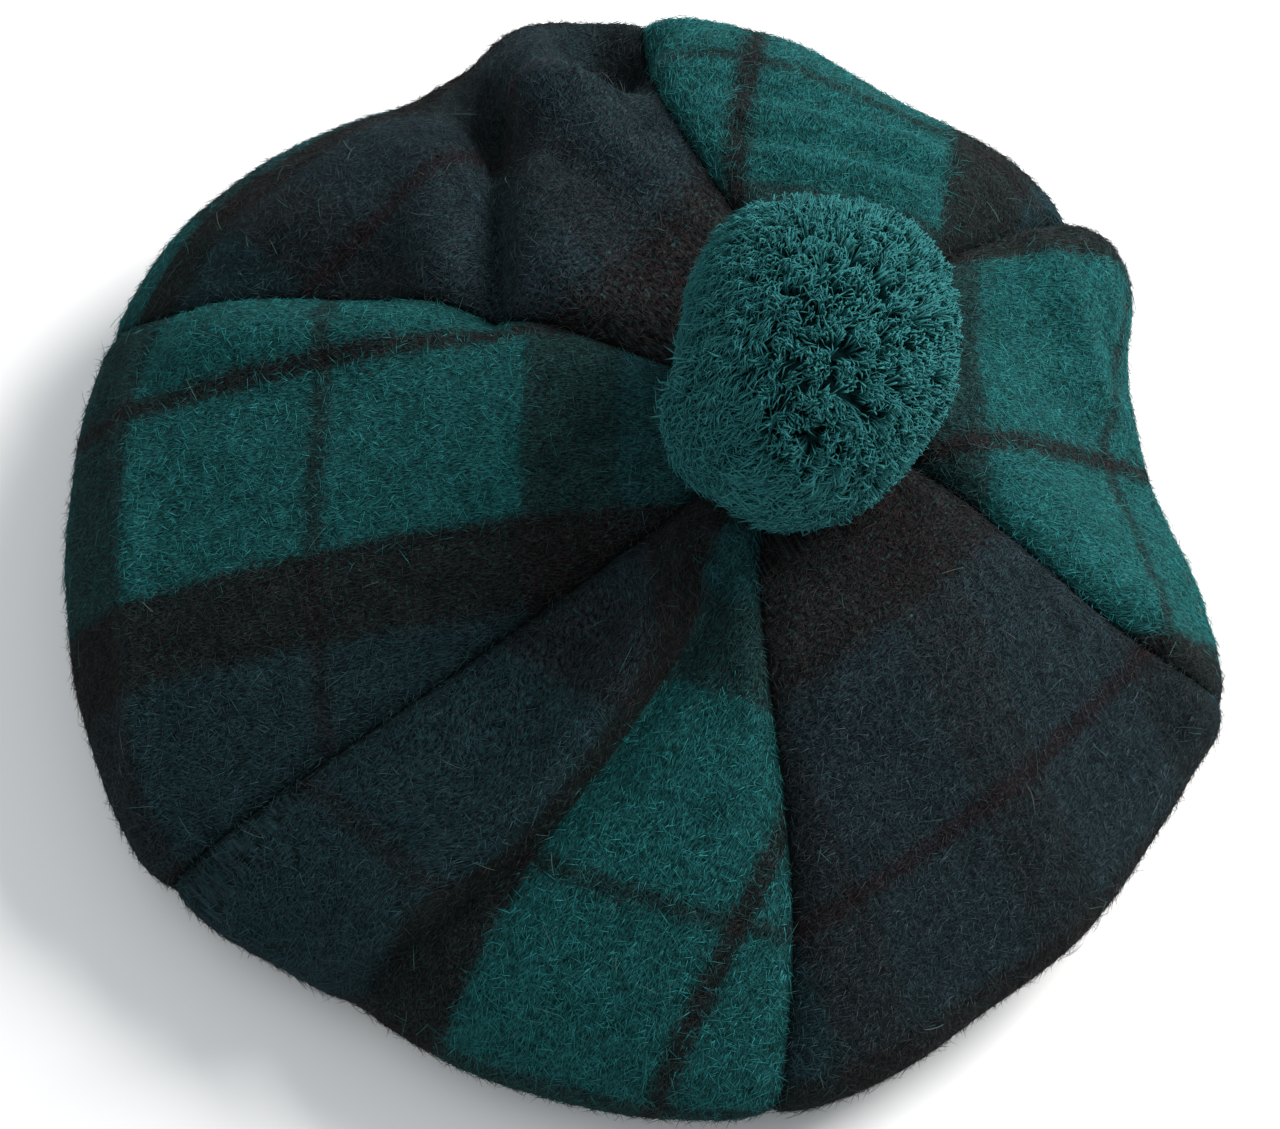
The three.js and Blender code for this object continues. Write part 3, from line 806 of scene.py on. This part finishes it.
class TAM_OT_headband(bpy.types.Operator):
    """Make the headband, a folded strip of the tartan, stitched round its lower edge"""
    bl_idname = "tam.headband"
    bl_label = "Headband"

    def execute(self, context):
        low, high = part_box("headband")
        centre = Vector(((low[0] + high[0]) / 2, (low[1] + high[1]) / 2, 0))
        inner, wall, height = BAND["inner"] * MM, BAND["wall"] * MM, BAND["height"] * MM
        # the strip is folded upwards round its lower edge: two layers with a narrow gap between them
        layer, bend = BAND_FOLD["layer"] * MM, BAND_FOLD["bend"] * MM
        bm = bmesh.new()
        bmesh.ops.create_grid(bm, x_segments=1, y_segments=52, size=0.5)
        straight = height - bend - layer / 2
        for vert in bm.verts:
            run = (vert.co.y + 0.5) * (2 * straight + math.pi * bend)
            if run < straight:
                x, z = -bend, height - run
            elif run > straight + math.pi * bend:
                x, z = bend, height - 2 * straight - math.pi * bend + run
            else:
                turn = (run - straight) / bend
                x, z = -bend * math.cos(turn), bend + layer / 2 - bend * math.sin(turn)
            # stitched above the fold, the cloth is drawn in and puffs out on each side
            above = (z / MM - BAND_FOLD["stitch"]) / BAND_FOLD["stitch_width"]
            x *= 1 - BAND_FOLD["drawn"] * math.exp(-above ** 2)
            vert.co = Vector((inner + wall / 2 + x, vert.co.x * 0.001, z))
        row = [vert for vert in bm.verts if vert.co.y > 0]
        bmesh.ops.delete(bm, geom=row, context="VERTS")
        for vert in bm.verts:
            vert.co.y = 0
        bmesh.ops.spin(bm, geom=list(bm.edges) + list(bm.verts), cent=(0, 0, 0), axis=(0, 0, 1),
                       angle=2 * math.pi, steps=180, use_merge=True)
        bmesh.ops.remove_doubles(bm, verts=list(bm.verts), dist=1e-6)
        bmesh.ops.translate(bm, verts=list(bm.verts), vec=centre)
        bmesh.ops.recalc_face_normals(bm, faces=list(bm.faces))
        mesh = bpy.data.meshes.new("headband_cloth")
        cut = bm.loops.layers.uv.new("cloth")
        for face in bm.faces:
            middle = face.calc_center_median() - centre
            turn_mid = math.atan2(middle.y, middle.x)
            for loop in face.loops:
                spot = loop.vert.co - centre
                turn = math.atan2(spot.y, spot.x)
                turn += 2 * math.pi * round((turn_mid - turn) / (2 * math.pi))
                loop[cut].uv = (turn * (inner + wall), spot.z + 0.02)
        bm.to_mesh(mesh)
        bm.free()
        smooth(mesh)
        piece = new_piece("headband_cloth", mesh, cloth_finish("headband_tartan_wool"))
        shell = piece.modifiers.new("thickness", "SOLIDIFY")
        shell.thickness = layer
        shell.offset = 0
        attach(piece, "root")
        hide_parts("headband")
        return {"FINISHED"}


class TAM_OT_pompom(bpy.types.Operator):
    """Make the wool pompom: a round body covered in tufts, combed over on its left"""
    bl_idname = "tam.pompom"
    bl_label = "Pompom"

    @staticmethod
    def form(way):
        """Outer surface of the pompom along each way out from its middle."""
        turn = np.arctan2(way[..., 1], way[..., 0])
        level = np.sqrt(np.clip(1 - way[..., 2] ** 2, 0, 1))
        lumps = 1 + level * (0.035 * np.sin(3 * turn + 0.6) + 0.025 * np.cos(5 * turn + 2.1)
                             + 0.03 * np.sin(2 * turn - 0.9) * way[..., 2])
        reach = np.interp(np.degrees(turn) % 360, PILE["turn"], PILE["share"], period=360)
        lumps = lumps * (1 + level * (reach - 1))
        return np.stack([way[..., 0] * lumps * POMPOM["wide"] / 2,
                         way[..., 1] * lumps * POMPOM["deep"] / 2,
                         np.maximum(way[..., 2], -POMPOM["seat"]) * POMPOM_HALF], -1)

    @staticmethod
    def ball(count, rng, jitter):
        """Evenly spread directions."""
        i = np.arange(count) + 0.5
        z = 1 - 2 * i / count
        turn = math.pi * (1 + 5**0.5) * i
        way = np.stack([np.sqrt(1 - z * z) * np.cos(turn), np.sqrt(1 - z * z) * np.sin(turn), z], -1)
        way += rng.normal(0, jitter, way.shape)
        return way / np.linalg.norm(way, axis=-1, keepdims=True)

    def execute(self, context):
        sizes = context.scene.tam_pompom
        centre = np.array([POMPOM["x"], POMPOM["y"], POMPOM["base"] + POMPOM["seat"] * POMPOM_HALF])
        bm = bmesh.new()
        bmesh.ops.create_icosphere(bm, subdivisions=4, radius=1.0)
        for vert in bm.verts:
            spot = self.form(np.array(vert.co.normalized()))
            spot[:2] *= 0.82
            spot[2] = spot[2] * 0.82 if spot[2] > 0 else spot[2]
            vert.co = Vector((spot + centre) * MM + frame_shift())
        mesh = bpy.data.meshes.new("pompom_body")
        bm.to_mesh(mesh)
        bm.free()
        smooth(mesh)
        # the body under the pile carries painted shade
        body = new_piece("pompom_body", mesh, pompom_finish("pompom_core_painted_shade", True))
        finish = pompom_finish("pompom_wool", False)
        left = self.pile("pompom_combed_pile", sizes, centre, True, finish)
        right = self.pile("pompom_curled_pile", sizes, centre, False, finish)
        for piece in (body, left, right):
            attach(piece, "root")
        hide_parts("pompom")
        return {"FINISHED"}

    def pile(self, name, sizes, centre, is_combed, finish):
        """One side's strands, gathered in tufts. The left and lower sides are combed over and lie
        side by side; on the right the tufts curl every way."""
        rng = np.random.default_rng(7 if is_combed else 8)
        count = sizes.strands
        way = self.ball(int(count * 3.2), rng, 0.012)
        way = way[way[:, 2] > -0.72]
        side = -way[:, 0] + 0.15 * way[:, 1] + rng.normal(0, 0.12, len(way))
        low = -way[:, 1] - 0.72 + rng.normal(0, 0.05, len(way))
        way = way[(np.maximum(side, low) > 0.12) == is_combed]
        way = way[rng.permutation(len(way))[:count]]
        count = len(way)
        tuft_count = 1700 if is_combed else 1500
        tufts = self.ball(tuft_count, rng, 0.06)
        near = np.argmax(way @ tufts.T, axis=1)
        tuft = tufts[near]
        surface, tuft_surface = self.form(way), self.form(tuft)
        outward = way / np.array([POMPOM["wide"], POMPOM["deep"], 2 * POMPOM_HALF])
        outward /= np.linalg.norm(outward, axis=-1, keepdims=True)
        pile = sizes.pile / MM
        root = surface - outward * pile * 0.75
        toss = rng.normal(0, 1, (len(tufts), 3))[near]
        toss /= np.linalg.norm(toss, axis=-1, keepdims=True)
        # reach is how far a strand leans, clump how much of a tuft's width its tips keep, sink how deep
        # they sit, and lift how far the strand stands out on its way
        if is_combed:
            sweep = ease(-way[:, 1:2], 0.3, 0.9)
            lie = (1 - sweep) * np.array([-0.5, -0.86, 0]) + sweep * np.array([-0.9, -0.4, 0]) + 0.4 * toss
            reach, clump, sink, lift = 8.0, 0.42, 1.0, 0.45
        else:
            lie, reach, clump, sink, lift = toss, 4.6, 0.85, 0.4, 0.66
        lie = lie + rng.normal(0, 0.30, lie.shape)
        lie = lie - outward * (lie * outward).sum(-1, keepdims=True)
        lie /= np.linalg.norm(lie, axis=-1, keepdims=True) + 1e-9
        level = rng.normal(0, 0.9, len(tufts))[near][:, None] + rng.normal(0, 0.5, (count, 1))
        tip = (tuft_surface + (surface - tuft_surface) * clump
               + lie * reach * rng.uniform(0.55, 1.1, (count, 1)) - outward * (sink - level * 0.8))
        knee = (root * 0.45 + tuft_surface * 0.55 + outward * pile * lift + lie * reach * 0.2)
        t = np.array([0.0, 0.4, 0.74, 1.0])[None, :, None]
        paths = (root[:, None] * (1 - t) ** 2 + knee[:, None] * 2 * t * (1 - t) + tip[:, None] * t**2)
        paths += rng.normal(0, 0.6, paths.shape) * t
        # nothing hangs below the seat of the pompom
        seat = -POMPOM["seat"] * POMPOM_HALF + 0.5
        paths[..., 2] = np.maximum(paths[..., 2], seat)
        radii = (sizes.strand_radius * np.array([0.9, 1.0, 0.85, 0.0])[None]
                 * rng.uniform(0.6, 1.4, (count, 1)))
        return strands(name, (paths + centre) * MM + frame_shift(), radii, outward, finish)


class TAM_OT_stage(bpy.types.Operator):
    """Make the camera, the pale floor and the soft studio light"""
    bl_idname = "tam.stage"
    bl_label = "Camera, floor and light"

    def light(self, name, place, aim, size, power, colour):
        lamp = bpy.data.lights.new(name, "AREA")
        lamp.size = size
        lamp.energy = power
        lamp.color = colour
        holder = bpy.data.objects.new(name, lamp)
        holder.location = place
        holder.rotation_euler = (Vector(aim) - Vector(place)).to_track_quat("-Z", "Y").to_euler()
        bpy.context.scene.collection.objects.link(holder)

    def execute(self, context):
        sizes = context.scene.tam_stage
        scene = context.scene
        aim = Vector((0.00017, -0.01155, 0.043))
        back = Vector((0, -math.cos(sizes.elevation), math.sin(sizes.elevation)))
        camera = bpy.data.cameras.new("camera")
        camera.lens = sizes.lens
        camera.sensor_width = 36
        camera.clip_start, camera.clip_end = 0.01, 50
        holder = bpy.data.objects.new("camera", camera)
        holder.location = aim + back * sizes.distance
        holder.rotation_euler = (-back).to_track_quat("-Z", "Y").to_euler()
        scene.collection.objects.link(holder)
        scene.camera = holder

        bm = bmesh.new()
        bmesh.ops.create_grid(bm, x_segments=8, y_segments=8, size=sizes.floor / 2)
        mesh = bpy.data.meshes.new("floor")
        bm.to_mesh(mesh)
        bm.free()
        pale = Wool("pale_floor")
        place = pale.node("ShaderNodeTexCoord").outputs["Object"]
        pale.put(pale.shader.inputs["Base Color"],
                 pale.mix(pale.noise(place, 3.0), (0.86, 0.86, 0.86, 1), (0.9, 0.9, 0.9, 1)))
        pale.shader.inputs["Roughness"].default_value = 0.9
        new_piece("floor", mesh, pale.material)

        world = bpy.data.worlds.new("studio")
        world.use_nodes = True
        world.node_tree.nodes["Background"].inputs[0].default_value = (0.93, 0.97, 1.0, 1)
        world.node_tree.nodes["Background"].inputs[1].default_value = 0.50
        scene.world = world
        self.light("key_light", (1.10, 0.62, 0.97), (0, 0, 0.05), 0.8, 44, (1.0, 0.98, 0.96))
        self.light("fill_light", (-0.6, -0.2, 1.6), (0, 0, 0.05), 1.4, 7, (0.95, 0.98, 1.0))
        scene.view_settings.view_transform = "Standard"
        return {"FINISHED"}


class TAM_PT_panel(bpy.types.Panel):
    """Sizes, colours and the steps that make the cap"""
    bl_idname = "TAM_PT_panel"
    bl_label = "Tam o' Shanter"
    bl_space_type = "VIEW_3D"
    bl_region_type = "UI"
    bl_category = "Tam"

    def draw(self, context):
        for group in ("tam_cloth", "tam_colours", "tam_pompom", "tam_stage"):
            box = self.layout.box()
            settings = getattr(context.scene, group)
            for key in settings.__annotations__:
                box.prop(settings, key)
        for operator in OPERATORS:
            self.layout.operator(operator.bl_idname)


GROUPS = {"tam_cloth": ClothSizes, "tam_colours": TartanColours, "tam_pompom": PompomSizes,
          "tam_stage": StageSizes}
OPERATORS = (TAM_OT_stage, TAM_OT_gores, TAM_OT_headband, TAM_OT_pompom)


def register():
    for name, group in GROUPS.items():
        bpy.utils.register_class(group)
        setattr(bpy.types.Scene, name, PointerProperty(type=group))
    for cls in OPERATORS + (TAM_PT_panel,):
        bpy.utils.register_class(cls)


def unregister():
    for cls in (TAM_PT_panel,) + OPERATORS[::-1]:
        bpy.utils.unregister_class(cls)
    for name, group in GROUPS.items():
        delattr(bpy.types.Scene, name)
        bpy.utils.unregister_class(group)


def main():
    register()
    bpy.ops.tam.stage()
    bpy.ops.tam.gores()
    bpy.ops.tam.headband()
    bpy.ops.tam.pompom()


if __name__ == "__main__":
    main()
